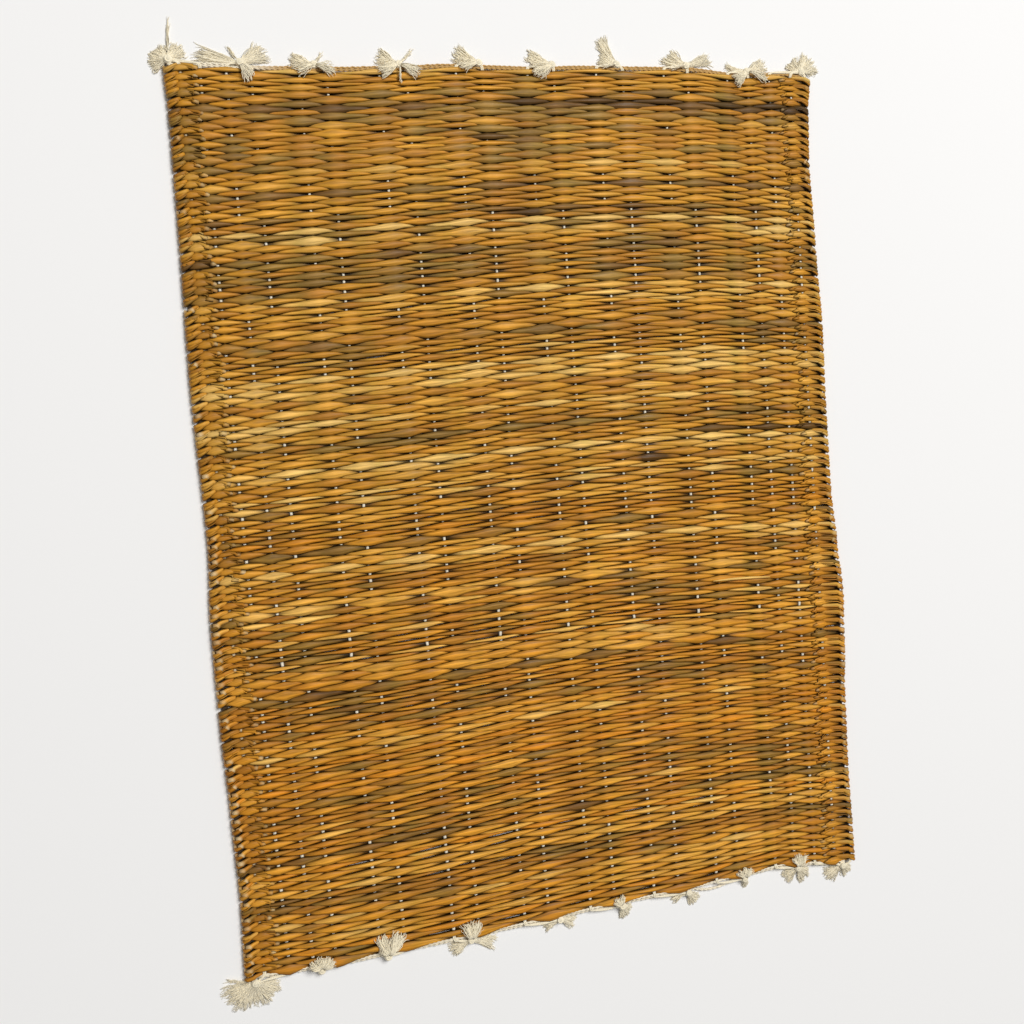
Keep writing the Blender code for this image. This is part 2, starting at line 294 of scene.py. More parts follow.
def mixTone(a, b, share):
    return tuple(p + (q - p) * share for p, q in zip(a, b))


def shaded(tone, factor):
    return tuple(v * factor for v in tone)


# materials

rushLook = {
    "streakAlong": 0.07,  # per mm of stem
    "streakAround": 13.0,  # per turn of the stem
    "streakDark": 0.58,
    "streakLight": 1.25,
    "blotchAlong": 0.09,
    "blotchAround": 1.6,
    "blotchTint": (0.78, 0.86, 0.74, 1),
    "blotchShare": 0.7,
    "bumpStrength": 0.5,
    "bumpDistance": 0.00035,
    "roughLow": 0.4,
    "roughHigh": 0.62,
    "specular": 0.2,
}
cottonLook = {
    "fibreAlong": 1.6,
    "fibreAround": 3.0,
    "fibreDark": 0.9,
    "fibreLight": 1.04,
    "bumpStrength": 0.4,
    "bumpDistance": 0.0002,
    "roughLow": 0.82,
    "roughHigh": 0.97,
    "specular": 0.2,
    "sheen": 0.25,
    "sheenRoughness": 0.6,
}


def addNode(tree, kind, x, y, **settings):
    node = tree.nodes.new(kind)
    node.location = (x, y)
    for name, value in settings.items():
        setattr(node, name, value)
    return node


def newMaterial(name):
    material = bpy.data.materials.new(name)
    material.use_nodes = True
    tree = material.node_tree
    return material, tree, tree.nodes["Principled BSDF"]


def strandNoise(tree, along, around, detail, x, y):
    uv = addNode(tree, "ShaderNodeUVMap", x - 600, y, uv_map="strand")
    mapping = addNode(tree, "ShaderNodeMapping", x - 400, y)
    mapping.inputs["Scale"].default_value = (along, around, 1)
    pattern = addNode(tree, "ShaderNodeTexNoise", x - 200, y)
    pattern.inputs["Scale"].default_value = 1.0
    pattern.inputs["Detail"].default_value = detail
    tree.links.new(uv.outputs["UV"], mapping.inputs["Vector"])
    tree.links.new(mapping.outputs["Vector"], pattern.inputs["Vector"])
    return pattern.outputs["Fac"]


def ranged(tree, source, fromLow, fromHigh, toLow, toHigh, x, y):
    node = addNode(tree, "ShaderNodeMapRange", x, y)
    sockets = ("From Min", "From Max", "To Min", "To Max")
    for socket, value in zip(sockets, (fromLow, fromHigh, toLow, toHigh)):
        node.inputs[socket].default_value = value
    tree.links.new(source, node.inputs["Value"])
    return node.outputs["Result"]


def multiplied(tree, colour, factor, x, y):
    node = addNode(tree, "ShaderNodeVectorMath", x, y, operation="SCALE")
    tree.links.new(colour, node.inputs[0])
    tree.links.new(factor, node.inputs["Scale"])
    return node.outputs["Vector"]


def rushMaterial():
    material, tree, shader = newMaterial("dried_rush")
    tone = addNode(tree, "ShaderNodeAttribute", -900, 300, attribute_name="tone")
    streaks = strandNoise(tree, rushLook["streakAlong"], rushLook["streakAround"], 3.0, -700, 0)
    blotches = strandNoise(tree, rushLook["blotchAlong"], rushLook["blotchAround"], 2.0, -700, -300)
    streakDark, streakLight = rushLook["streakDark"], rushLook["streakLight"]
    streakFactor = ranged(tree, streaks, 0.3, 0.7, streakDark, streakLight, -450, 0)
    streaked = multiplied(tree, tone.outputs["Color"], streakFactor, -250, 250)
    olive = addNode(tree, "ShaderNodeMix", -50, 250, data_type="RGBA", blend_type="MULTIPLY")
    olive.inputs["B"].default_value = rushLook["blotchTint"]
    blotchShare = ranged(tree, blotches, 0.5, 0.68, 0.0, rushLook["blotchShare"], -450, -300)
    tree.links.new(blotchShare, olive.inputs["Factor"])
    tree.links.new(streaked, olive.inputs["A"])
    tree.links.new(olive.outputs["Result"], shader.inputs["Base Color"])
    rough = ranged(tree, blotches, 0.3, 0.7, rushLook["roughLow"], rushLook["roughHigh"], -250, -300)
    tree.links.new(rough, shader.inputs["Roughness"])
    shader.inputs["Specular IOR Level"].default_value = rushLook["specular"]
    bump = addNode(tree, "ShaderNodeBump", -50, -150)
    bump.inputs["Strength"].default_value = rushLook["bumpStrength"]
    bump.inputs["Distance"].default_value = rushLook["bumpDistance"]
    tree.links.new(streaks, bump.inputs["Height"])
    tree.links.new(bump.outputs["Normal"], shader.inputs["Normal"])
    return material


def cottonMaterial():
    material, tree, shader = newMaterial("undyed_cotton")
    tone = addNode(tree, "ShaderNodeAttribute", -900, 300, attribute_name="tone")
    fibres = strandNoise(tree, cottonLook["fibreAlong"], cottonLook["fibreAround"], 3.0, -700, 0)
    factor = ranged(tree, fibres, 0.3, 0.7, cottonLook["fibreDark"], cottonLook["fibreLight"], -450, 0)
    coloured = multiplied(tree, tone.outputs["Color"], factor, -250, 250)
    tree.links.new(coloured, shader.inputs["Base Color"])
    rough = ranged(tree, fibres, 0.3, 0.7, cottonLook["roughLow"], cottonLook["roughHigh"], -250, -300)
    tree.links.new(rough, shader.inputs["Roughness"])
    shader.inputs["Specular IOR Level"].default_value = cottonLook["specular"]
    shader.inputs["Sheen Weight"].default_value = cottonLook["sheen"]
    shader.inputs["Sheen Roughness"].default_value = cottonLook["sheenRoughness"]
    bump = addNode(tree, "ShaderNodeBump", -50, -150)
    bump.inputs["Strength"].default_value = cottonLook["bumpStrength"]
    bump.inputs["Distance"].default_value = cottonLook["bumpDistance"]
    tree.links.new(fibres, bump.inputs["Height"])
    tree.links.new(bump.outputs["Normal"], shader.inputs["Normal"])
    return material


rush = rushMaterial()
cotton = cottonMaterial()
print("materials made")


# the stems' colours, row by row

rushTones = {
    "pale": linear(240, 192, 104),
    "straw": linear(228, 167, 66),
    "golden": linear(214, 147, 42),
    "amber": linear(190, 125, 37),
    "olive": linear(158, 120, 50),
    "brown": linear(138, 96, 42),
    "dark": linear(82, 56, 22),
    "orange": linear(217, 141, 34),
}
toneScale = (  # (how dull a stem is, its tone)
    (-2.0, "pale"), (-1.0, "straw"), (0.0, "golden"), (0.8, "amber"), (1.5, "olive"), (2.3, "brown"),
    (3.4, "dark"),
)
toneBands = (  # (height up the mat, how much duller the stems are there, or paler below zero)
    (10, 0.0), (25, 0.4), (45, 0.1), (63, 0.6), (72, 0.3), (85, 0.5), (100, 0.3), (110, 0.1),
    (130, 0.55), (147, -0.5), (160, 0.3), (170, 0.1), (185, 0.0), (205, -0.1), (220, 0.1), (232, -0.1),
    (246, -0.3), (258, 0.3), (270, -0.8), (278, -0.2), (290, -1.2), (297, -0.8), (304, 0.8), (325, 0.2),
    (332, -0.2), (346, 1.1), (354, 0.8), (363, -0.6), (371, 1.0), (380, -0.1), (387, 1.2), (395, 0.3),
    (412, 0.5), (424, 0.6), (431, 1.7), (440, 0.4),
)
# warmer towards the bottom end, greyer towards the top end
warmth = ((0, 0.01), (40, 0.04), (70, 0.07), (160, 0.07), (215, 0.02), (260, -0.02), (420, -0.03))
warmTint = (0.5, -0.4, -2.5)  # a warm stem gains red and loses green and blue
toneSpread = 0.62
toneDrift = {
    "shared": 0.9,  # stems that lie near each other drift together
    "sharedAlong": 0.014,  # per mm along the stems
    "sharedUp": 0.05,  # and per mm up the mat
    "own": 1.5,  # and each one drifts on its own
    "ownAlong": 0.024,
    "flicker": 0.16,
    "flickerAlong": 0.05,
}
orangeChance = 0.035
oddStems = (  # (y, x from, x to, tone): single stems that stand out
    (431, 150, 350, "dark"), (367, 0, 350, "pale"), (200, 0, 350, "pale"), (255, 262, 350, "dark"),
    (412, 148, 172, "dark"), (380, 110, 134, "dark"), (372, 165, 186, "dark"), (241, 230, 250, "dark"),
)
oddStemNear = 1.1  # how far a stem may be from such a place
oddStemFade = 6.0
cutEndTone = linear(238, 204, 150)


def toneOf(value):
    if value <= toneScale[0][0]:
        return rushTones[toneScale[0][1]]
    for (low, before), (high, after) in zip(toneScale, toneScale[1:]):
        if value <= high:
            return mixTone(rushTones[before], rushTones[after], (value - low) / (high - low))
    return rushTones[toneScale[-1][1]]


def stemTones(row, dice):
    # a stem's own tone, which drifts along its length
    y = mat["length"] * rowShare(row)
    own = easedThrough(toneBands, y) + dice.gauss(0, toneSpread)
    orange = dice.random() < orangeChance
    light = dice.uniform(0.9, 1.08)
    phase = dice.uniform(0, 100)

    def toneAt(x):
        shared = noise.noise((x * toneDrift["sharedAlong"], y * toneDrift["sharedUp"], 3.0))
        single = noise.noise((x * toneDrift["ownAlong"], phase, 0.0))
        drift = toneDrift["shared"] * shared + toneDrift["own"] * single
        tone = rushTones["orange"] if orange else toneOf(own + drift)
        for oddY, low, high, name in oddStems:
            if abs(y - oddY) < oddStemNear:
                inside = min(x - low, high - x)
                tone = mixTone(tone, rushTones[name], min(0.9, max(0, inside / oddStemFade + 0.5)))
        warm = easedThrough(warmth, y)
        tone = tuple(value * (1 + tint * warm) for value, tint in zip(tone, warmTint))
        flicker = noise.noise((x * toneDrift["flickerAlong"], row * 3.7, phase))
        return shaded(tone, light * (1 + toneDrift["flicker"] * flicker))

    return toneAt


# the rush stems

stems = {
    "seed": 31,
    "middle": 2.35,  # height of the cloth's middle
    "swing": 1.2,  # how far a stem rises and falls from it
    "swingJitter": 0.1,
    "crownWidth": 2.03,  # half widths of a middling stem where it passes over a warp
    "crownJitter": 0.26,
    "crossWidth": 1.13,  # and halfway between two warps
    "hiddenWidth": 1.3,
    "spindle": 1.9,  # over 1 the floats are pointed, under 1 blunt
    "overCurve": 1.2,  # how late a stem rises over a warp
    "underCurve": 2.1,  # and how late it dives under one
    "crownHeight": 0.95,  # half heights
    "crossHeight": 1.32,
    "stepLength": 3.4,
    # how far the floats tilt from their row, from the left to the right
    "leans": ((0, 0.08), (60, 0.1), (110, 0.16), (180, 0.14), (240, 0.06)),
    "sideways": 0.12,
    "cutEnds": (0.75, 0.25),  # how often the outer ends are cut off, in the lower and the upper half
    "endPaleness": {-1: (0.4, 1.0), 1: (0.0, 0.6)},  # at the left and the right border
    "faceHeight": 3.0,  # a cut end above this height shows
    "deepShade": 0.04,  # painted shade: the cloth is darker towards its middle, where little light comes
    "shadeFrom": -0.3,  # from this height over the cloth's middle
    "shadeTo": 0.98,  # up to this one
    "sideReach": 0.92,  # painted shade on the stems' sides too, where they touch
    "airyRim": 2.0,
    "airyOpen": 0.6,
}


# painted shade, multiplied into the stems' and tails' tones: darker towards the cloth's middle and at the
# stems' sides, less so near the mat's own sides
def paintedClothShade(row, sideReach):
    left, right = sideX(row, -1), sideX(row, 1)

    def lightAt(x, z, rim):
        # beside the mat's own sides light comes in from there too
        airy = min(1.0, max(0.0, 1 - min(x - left, right - x) / stems["airyRim"]))
        out = z - stems["middle"] if rim >= 0 else stems["middle"] - z
        share = min(1.0, max(0.0, (out - stems["shadeFrom"]) / (stems["shadeTo"] - stems["shadeFrom"])))
        light = stems["deepShade"] + (1 - stems["deepShade"]) * max(share, airy)
        return light * max(min(1.0, abs(rim) / sideReach), stems["airyOpen"] * airy)

    return lightAt


def isOver(row, warp):
    return (row + warp) % 2 == 0


# the outer end of a stem that passes over the side warp: it is bent down or cut off there,
# in knots of x, y, z, half width and half height
def overEnd(row, side, warpNear, cut, dice):
    edge = sideX(row, side)
    y = rowY(row, warpNear)

    def inward(distance):
        return edge - side * distance

    knots = [
        (inward(3.7), y - 1.1, 4.0, 1.2, 0.8),
        (inward(4.7), y - 0.6, 3.6, 1.05, 0.9),
        (warpNear + side * 1.9, y - 0.15, 2.55, 0.95, 1.1),
    ]
    if cut:
        tip, drop = dice.uniform(0.2, 1.6), dice.uniform(-0.4, 0.4)
        ends = [
            (inward(tip), y - 2.3 + drop, 3.5, dice.uniform(1.1, 1.7), 0.5),
            (inward(tip + dice.uniform(1.6, 2.4)), y - 1.75 + drop * 0.6, 4.15, 1.45, 0.75),
        ]
    else:
        ends = [
            (inward(0.75), y - 2.0, 1.2, 0.8, 0.75),
            (inward(-0.1), y - 2.1, 2.3, 0.95, 0.75),
            (inward(0.9), y - 1.95, 3.5, 1.1, 0.8),
        ]
    return ends + knots


# the outer end of a stem that passes under the side warp and comes round it as a tucked tail
def underEnd(row, side, warpNear):
    edge = sideX(row, side)
    y = rowY(row, warpNear)
    return [
        (edge + side * 0.1, y - 0.5, 2.3, 1.35, 0.65),
        (edge - side * 0.5, y - 0.5, 1.3, 1.35, 0.75),
        (edge - side * 2.6, y - 0.6, 1.15, 1.25, 0.9),
        (warpNear + side * 3.2, y - 0.4, 2.2, 1.35, 1.2),
    ]


def outerEnd(row, side, edgeWarp, warpNear, cut, dice):
    if isOver(row, edgeWarp):
        return overEnd(row, side, warpNear, cut, dice)
    return underEnd(row, side, warpNear)


def stemPath(row, dice):
    warps = warpPlaces(row)
    thick = thickness(row)
    crowns = [stems["crownWidth"] * thick + dice.uniform(-1, 1) * stems["crownJitter"] for _ in warps]
    crossWidth, hiddenWidth = stems["crossWidth"] * thick, stems["hiddenWidth"] * thick
    shifts = [dice.uniform(-1, 1) * stems["sideways"] for _ in warps]
    jitter = stems["swingJitter"]
    swings = [stems["swing"] + dice.uniform(-jitter, jitter) for _ in warps]
    cut = dice.random() < stems["cutEnds"][0 if rowShare(row) < 0.5 else 1]
    path = outerEnd(row, -1, 0, warps[1], cut, dice)
    for i in range(1, len(warps) - 2):
        gap = warps[i + 1] - warps[i]
        steps = max(3, round(gap / stems["stepLength"]))
        sign = 1 if isOver(row, i) else -1
        for step in range(steps):
            s = step / steps
            ease = s * s * (3 - 2 * s)
            c = math.cos(math.pi * s) * sign
            crown = crowns[i] if s < 0.5 else crowns[i + 1]
            full = crown if c > 0 else hiddenWidth
            halfWidth = crossWidth + (full - crossWidth) * abs(c) ** stems["spindle"]
            halfHeight = stems["crossHeight"] + (stems["crownHeight"] - stems["crossHeight"]) * abs(c)
            c = c ** stems["overCurve"] if c > 0 else -(-c) ** stems["underCurve"]
            x = warps[i] + gap * s
            lean = easedThrough(stems["leans"], x) * math.sin(math.pi * s) * sign
            y = rowY(row, x) + lean + shifts[i] + (shifts[i + 1] - shifts[i]) * ease
            swing = swings[i] + (swings[i + 1] - swings[i]) * ease
            path.append((x, y, stems["middle"] + swing * c, halfWidth, halfHeight))
    lastWarp = warps[-2]
    sign = 1 if isOver(row, len(warps) - 2) else -1
    path.append((
        lastWarp,
        rowY(row, lastWarp) + shifts[-2],
        stems["middle"] + swings[-2] * sign,
        crowns[-2] if sign > 0 else hiddenWidth,
        stems["crownHeight"],
    ))
    return path + outerEnd(row, 1, len(warps) - 1, lastWarp, cut, dice)[::-1]


def makeStems():
    shapes = (newShape(), newShape())
    dice = random.Random(stems["seed"])
    rowTone = []
    for row in range(mat["stemRows"]):
        toneAt = stemTones(row, dice)
        rowTone.append(toneAt)
        path = stemPath(row, dice)
        tones = [toneAt(point[0]) for point in path]
        for side, end, inner in ((-1, 0, 1), (1, -1, -2)):
            paleness = dice.uniform(*stems["endPaleness"][side])
            tones[end] = mixTone(tones[end], cutEndTone, paleness)
            if path[end][2] > stems["faceHeight"]:
                tones[inner] = mixTone(tones[inner], cutEndTone, paleness)
        addTube(shapes[row % 2], path, tones, stemSection, paintedClothShade(row, stems["sideReach"]))
    evenPiece = makePiece("rushStemsEven", shapes[0], rush, "rush", "woven_panel")
    oddPiece = makePiece("rushStemsOdd", shapes[1], rush, "rush")
    return evenPiece, oddPiece, rowTone


# the tucked tails in both side borders

tails = {
    "seed": 12,
    "length": (5.6, 9.4),
    "cut": (1.4, 3.2),
    "halfWidth": 0.86,
    "sizes": (0.8, 1.2),
    "thin": 0.85,  # at the right border
    "drop": (-0.5, 0.4),
    # how often a thin strand has split off a tail, at the left and the right border
    "split": {-1: 0.9, 1: 0.5},
    "splitWidth": 0.5,
    "splitGap": (0.9, 1.5),
    "sideReach": 1.25,  # painted shade on the tails' sides, darker than on the stems'
    # the tails' tones are made lighter to make up for that painted shade
    "light": 1.14,
    "paleness": {-1: (0.2, 1.1), 1: (-0.5, 0.9)},  # of the cut ends, at the left and the right border
}


# a tail comes round the side warp, over the next stem, down at the first inner warp and up to its cut end
def tailKnots(row, side, dice):
    warps = warpPlaces(row)
    warp = warps[1] if side < 0 else warps[-2]
    edge = sideX(row, side)
    dot = rowY(row + 1, warp)  # where the next stem passes under the same warp
    reach = dice.uniform(*tails["length"])
    size = tails["halfWidth"] * dice.uniform(*tails["sizes"]) * (tails["thin"] if side > 0 else 1)
    drop = dice.uniform(*tails["drop"])
    cut = dice.uniform(*tails["cut"])
    return [
        (edge + side * 0.15, dot - 3.9, 1.9, 1.25, 0.6),
        (edge - side * 0.35, dot - 3.75, 3.2, 1.3 * size, 0.7),
        (edge - side * 2.4, dot - 2.75, 3.95, size, 0.75),
        (edge - side * 4.3, dot - 1.6, 3.65, 0.9 * size, 0.8),
        (warp + side * 1.4, dot - 0.75, 2.75, 0.75 * size, 0.75),
        (warp - side * 0.2, dot - 0.4, 2.3, 0.7 * size, 0.75),
        (warp - side * 2.2, dot - 0.85, 3.2, 0.85 * size, 0.75),
        (warp - side * (reach - 2.4), dot - 1.5 + drop * 0.5, 3.85, 1.1 * size, 0.72),
        (warp - side * (reach - cut - 0.2), dot - 1.95 + drop, 4.15, 1.2 * size, 0.68),
        (warp - side * (reach - cut * 0.6), dot - 2.0 + drop, 4.15, 1.25 * size, 0.6),
        (warp - side * reach, dot - 2.4 + drop, 3.7, dice.uniform(0.5, 1.4) * size, 0.4),
    ]


# a thin strand beside the tail, without the tail's two ends
def addSplitStrand(shape, knots, tones, shade, dice):
    away = dice.choice((-1, 1)) * dice.uniform(*tails["splitGap"])
    strand = []
    for x, y, z, halfWidth, halfHeight in knots[1:-2]:
        x += dice.uniform(-0.15, 0.15)
        y = y + away + dice.uniform(-0.2, 0.2)
        strand.append((x, y, z + 0.1, halfWidth * tails["splitWidth"], halfHeight * 0.8))
    strandTones = [shaded(tone, dice.uniform(0.7, 1.0)) for tone in tones[1:-2]]
    addTube(shape, strand, strandTones, roundSection[6], shade)


def makeTails(rowTone):
    shape = newShape()
    dice = random.Random(tails["seed"])
    lastWarp = len(mat["warpsAtTop"]) + 1
    for row in range(mat["stemRows"]):
        for side, edgeWarp in ((-1, 0), (1, lastWarp)):
            if isOver(row, edgeWarp):
                continue
            knots = tailKnots(row, side, dice)
            tones = [shaded(rowTone[row](knot[0]), tails["light"]) for knot in knots]
            paleness = min(1.0, max(0.0, dice.uniform(*tails["paleness"][side])))
            tones[-1] = shaded(mixTone(tones[-1], cutEndTone, paleness), dice.uniform(0.75, 1.1))
            tones[-2] = mixTone(tones[-2], tones[-1], dice.uniform(0.4, 1.0))
            shade = paintedClothShade(row, tails["sideReach"])
            addTube(shape, knots, tones, roundSection[8], shade)
            if dice.random() < tails["split"][side]:
                addSplitStrand(shape, knots, tones, shade, dice)
    return makePiece("tuckedTails", shape, rush, "rush")


# the cotton warp threads, which show as pale dots between the stems

warpThreads = {
    "seed": 5,
    "tone": linear(242, 232, 210),
    "toneRange": (0.86, 1.0),
    "dotHeight": (2.5, 2.9),  # where a stem passes under it
    "underHeight": 2.05,  # and where a stem passes over it
    "halfWidth": (0.66, 0.9),  # at the top end and the bottom end
    "halfHeight": 0.6,
    "dotReach": 0.5,
    "wander": 0.08,
    "hidden": (0, 21),
    "hiddenWiden": 2.0,
    "hiddenDrop": 1.1,  # the hidden warps lie deep in the borders
    # painted shade: the hidden warps' white cotton gets a dark brown tone, since they lie deep in the
    # borders
    "hiddenShadeTone": linear(70, 50, 24),
    "faint": 1,  # this warp shows less than the others
    "faintDrop": 0.25,
    "faintTone": linear(204, 182, 146),
}


def makeWarps():
    shape = newShape()
    dice = random.Random(warpThreads["seed"])
    wander = warpThreads["wander"]
    for warp in range(len(mat["warpsAtTop"]) + 2):
        path = []
        for row in range(mat["stemRows"]):
            x = warpPlaces(row)[warp]
            y = rowY(row, x)
            dot = not isOver(row, warp)
            z = dice.uniform(*warpThreads["dotHeight"]) if dot else warpThreads["underHeight"]
            narrow, wide = warpThreads["halfWidth"]
            halfWidth = wide + (narrow - wide) * rowShare(row)
            if warp in warpThreads["hidden"]:
                z -= warpThreads["hiddenDrop"]
                halfWidth *= warpThreads["hiddenWiden"]
            if warp == warpThreads["faint"]:
                z -= warpThreads["faintDrop"]
            for step in (-1, 1):
                path.append((
                    x + dice.uniform(-wander, wander),
                    y + step * warpThreads["dotReach"],
                    z,
                    halfWidth,
                    warpThreads["halfHeight"],
                ))
        tone = warpThreads["hiddenShadeTone"] if warp in warpThreads["hidden"] else warpThreads["tone"]
        if warp == warpThreads["faint"]:
            tone = warpThreads["faintTone"]
        tones = [shaded(tone, dice.uniform(*warpThreads["toneRange"])) for _ in path]
        addTube(shape, path, tones, roundSection[6])
    return makePiece("warpThreads", shape, cotton, "cotton")


# the heading cords, twisted from two plies

cords = {
    "start": 1.0,
    "stop": 344.0,
    "gap": 0.7,
    "radius": 0.75,
    "height": 1.25,
    "plyRadius": 0.5,
    "plyOffset": 0.4,
    "twistLength": 5.5,
    "step": 1.25,
    "slack": (247.0, 276.0, 2.6),  # from, to and depth, at the bottom end
    "innerInset": 0.1,  # the second cord, which lies on the first stems' edge
    "innerHeight": 2.7,
    "innerSize": 0.85,
    "wander": 0.25,
    "wanderAlong": 0.05,
    "tone": linear(244, 232, 206),
    "toneRange": (0.9, 1.0),
    "stain": linear(190, 140, 44),
    "topTones": ((35, 1.0), (60, 0.14)),  # beyond the first tufts the top cord is stained by the rush
}


def makeHeadingCord(name, node, edgeY, outward, slack):
    shape = newShape()
    dice = random.Random(name)
    runs = (
        (cords["gap"] + cords["radius"], cords["height"], 1.0, slack),
        (cords["innerInset"], cords["innerHeight"], cords["innerSize"], None),
    )
    for away, height, size, sag in runs:
        for ply in (0, 1):
            path = []
            x = cords["start"]
            while x <= cords["stop"]:
                place = away
                if sag and sag[0] < x < sag[1]:
                    place += sag[2] * math.sin(math.pi * (x - sag[0]) / (sag[1] - sag[0]))
                turn = math.tau * (x / cords["twistLength"] + ply / 2)
                wander = cords["wander"] * noise.noise((x * cords["wanderAlong"], ply, away))
                path.append((
                    x,
                    edgeY(x) + outward * (place + wander) + math.cos(turn) * cords["plyOffset"] * size,
                    height + math.sin(turn) * cords["plyOffset"] * size,
                    cords["plyRadius"] * size,
                    cords["plyRadius"] * size,
                ))
                x += cords["step"]
            tones = []
            for point in path:
                clean = easedThrough(cords["topTones"], point[0]) if outward > 0 else 1.0
                tone = mixTone(cords["stain"], cords["tone"], clean)
                tones.append(shaded(tone, dice.uniform(*cords["toneRange"])))
            addTube(shape, path, tones, roundSection[6])
    return makePiece(name, shape, cotton, "cotton", node)


# the tufts: a knot of warp ends, and locks of frayed fibres that fan out from it

# each tuft is (x, shift outwards, its fans), and each fan
# (first heading, last heading, locks, reach, lies on the mat), in degrees anticlockwise from +X
topTufts = (
    (1.5, 0.0, ((24, 62, 4, 10, False), (84, 84, 1, 20, False), (106, 142, 3, 8, False),
                (158, 214, 5, 9, False))),
    (35.3, 0.0, ((12, 44, 4, 15, False), (122, 122, 1, 10, False), (161, 172, 3, 22, False),
                 (-68, -54, 2, 10, True))),
    (71.3, 0.0, ((152, 172, 4, 12, False), (-168, -150, 2, 11, True), (55, 55, 1, 9, False),
                 (-24, -12, 2, 11, True))),
    (114.4, 0.0, ((140, 171, 4, 12, False), (-166, -146, 3, 12, True), (45, 45, 1, 12, False),
                  (-92, -92, 1, 10, True), (-38, -18, 3, 11, True))),
    (156.5, 0.0, ((142, 170, 4, 14, False), (-170, -158, 2, 11, True))),
    (196.3, 0.0, ((146, 171, 4, 14, False), (-170, -140, 4, 12, True))),
    (233.0, 0.0, ((112, 129, 4, 16, False), (145, 170, 3, 10, False), (-168, -168, 1, 9, True))),
    (273.3, 0.0, ((128, 148, 3, 11, False), (162, 172, 2, 14, False), (-165, -165, 1, 11, True),
                  (10, 24, 3, 17, False))),
    (310.1, 0.0, ((-152, -130, 3, 11, True), (163, 172, 2, 12, False), (10, 34, 4, 14, False),
                  (-28, -16, 2, 12, True))),
    (344.0, 0.0, ((38, 76, 4, 12, False), (10, 24, 2, 12, False), (108, 150, 3, 9, False))),
)
bottomTufts = (
    (4.5, -1.4, ((-172, -118, 6, 17, False), (-106, -76, 3, 13, False), (-60, -14, 4, 14, False),
                 (169, 169, 1, 15, False))),
    (38.1, 0.0, ((32, 150, 8, 8, True),)),
    (72.8, 0.0, ((98, 116, 3, 13, True), (50, 70, 4, 14, True), (136, 136, 1, 7, True))),
    (117.4, 0.0, ((60, 110, 5, 11, True), (-170, -142, 5, 12, False), (-28, -8, 3, 15, False))),
    (167.4, 0.0, ((-170, -146, 3, 10, False), (-34, -10, 3, 10, False))),
    (203.8, 0.0, ((95, 145, 4, 7, True), (-90, -50, 4, 8, False), (-26, -12, 2, 7, False))),
    (243.7, 0.0, ((-170, -156, 3, 10, False), (-72, -34, 5, 9, False))),
    (278.7, 0.0, ((58, 130, 5, 7, True), (-80, -58, 2, 6, False))),
    (313.0, 0.0, ((58, 120, 4, 9, True), (-160, -128, 3, 10, False), (-70, -22, 4, 10, False))),
    (342.0, 0.0, ((-164, -130, 4, 12, False), (-70, -18, 4, 8, False))),
)
warpsOfTuft = (
    (0, 1, 2), (3, 4), (5, 6), (7, 8), (9, 10), (11, 12), (13, 14), (15, 16), (17, 18), (19, 20, 21),
)
tufts = {
    "outset": 2.5,  # from the mat's edge to the middle of the knot
    "shorterLock": 0.88,
    "fibres": 26,  # in each lock
    "fibreRadius": (0.13, 0.24),
    "rootWidth": 0.55,
    "spikeFibres": 9,  # in a lock that stands alone
    "spikeWidth": 0.4,  # and how wide it is beside the others
    "lockWidth": 0.8,  # half widths
    "tipSpread": 1.25,
    "headingSpread": 4.0,  # degrees, in a lock of up to this reach
    "evenReach": 12.0,
    "lengths": (0.9, 0.12),  # of the fibres as a share of the lock's, mean and spread
    "longest": 1.06,
    "bend": 0.07,
    "wave": 0.28,
    "onMat": 4.75,  # heights of the lowest fibres
    "onFloor": 0.15,
    "rootOnMat": 3.6,
    "rootOnFloor": 2.5,
    "tone": linear(253, 241, 211),
    "lockLight": (0.96, 1.0),
    "fibreLight": (0.9, 1.0),
    "knotRadius": 1.6,
    "knotYarn": 0.55,
    # (tilt, height, share of the radius)
    "knotTurns": ((0.35, 2.2, 1.0), (-0.3, 3.0, 1.06), (0.15, 3.7, 0.8)),
    "knotSteps": 10,
    "knotCore": ((1.4, 0.8), (2.0, 1.5), (3.0, 1.6), (3.9, 1.3), (4.4, 0.5)),  # (height, radius)
    "legRadius": (0.42, 0.45),  # at a leg's ends and along it
}


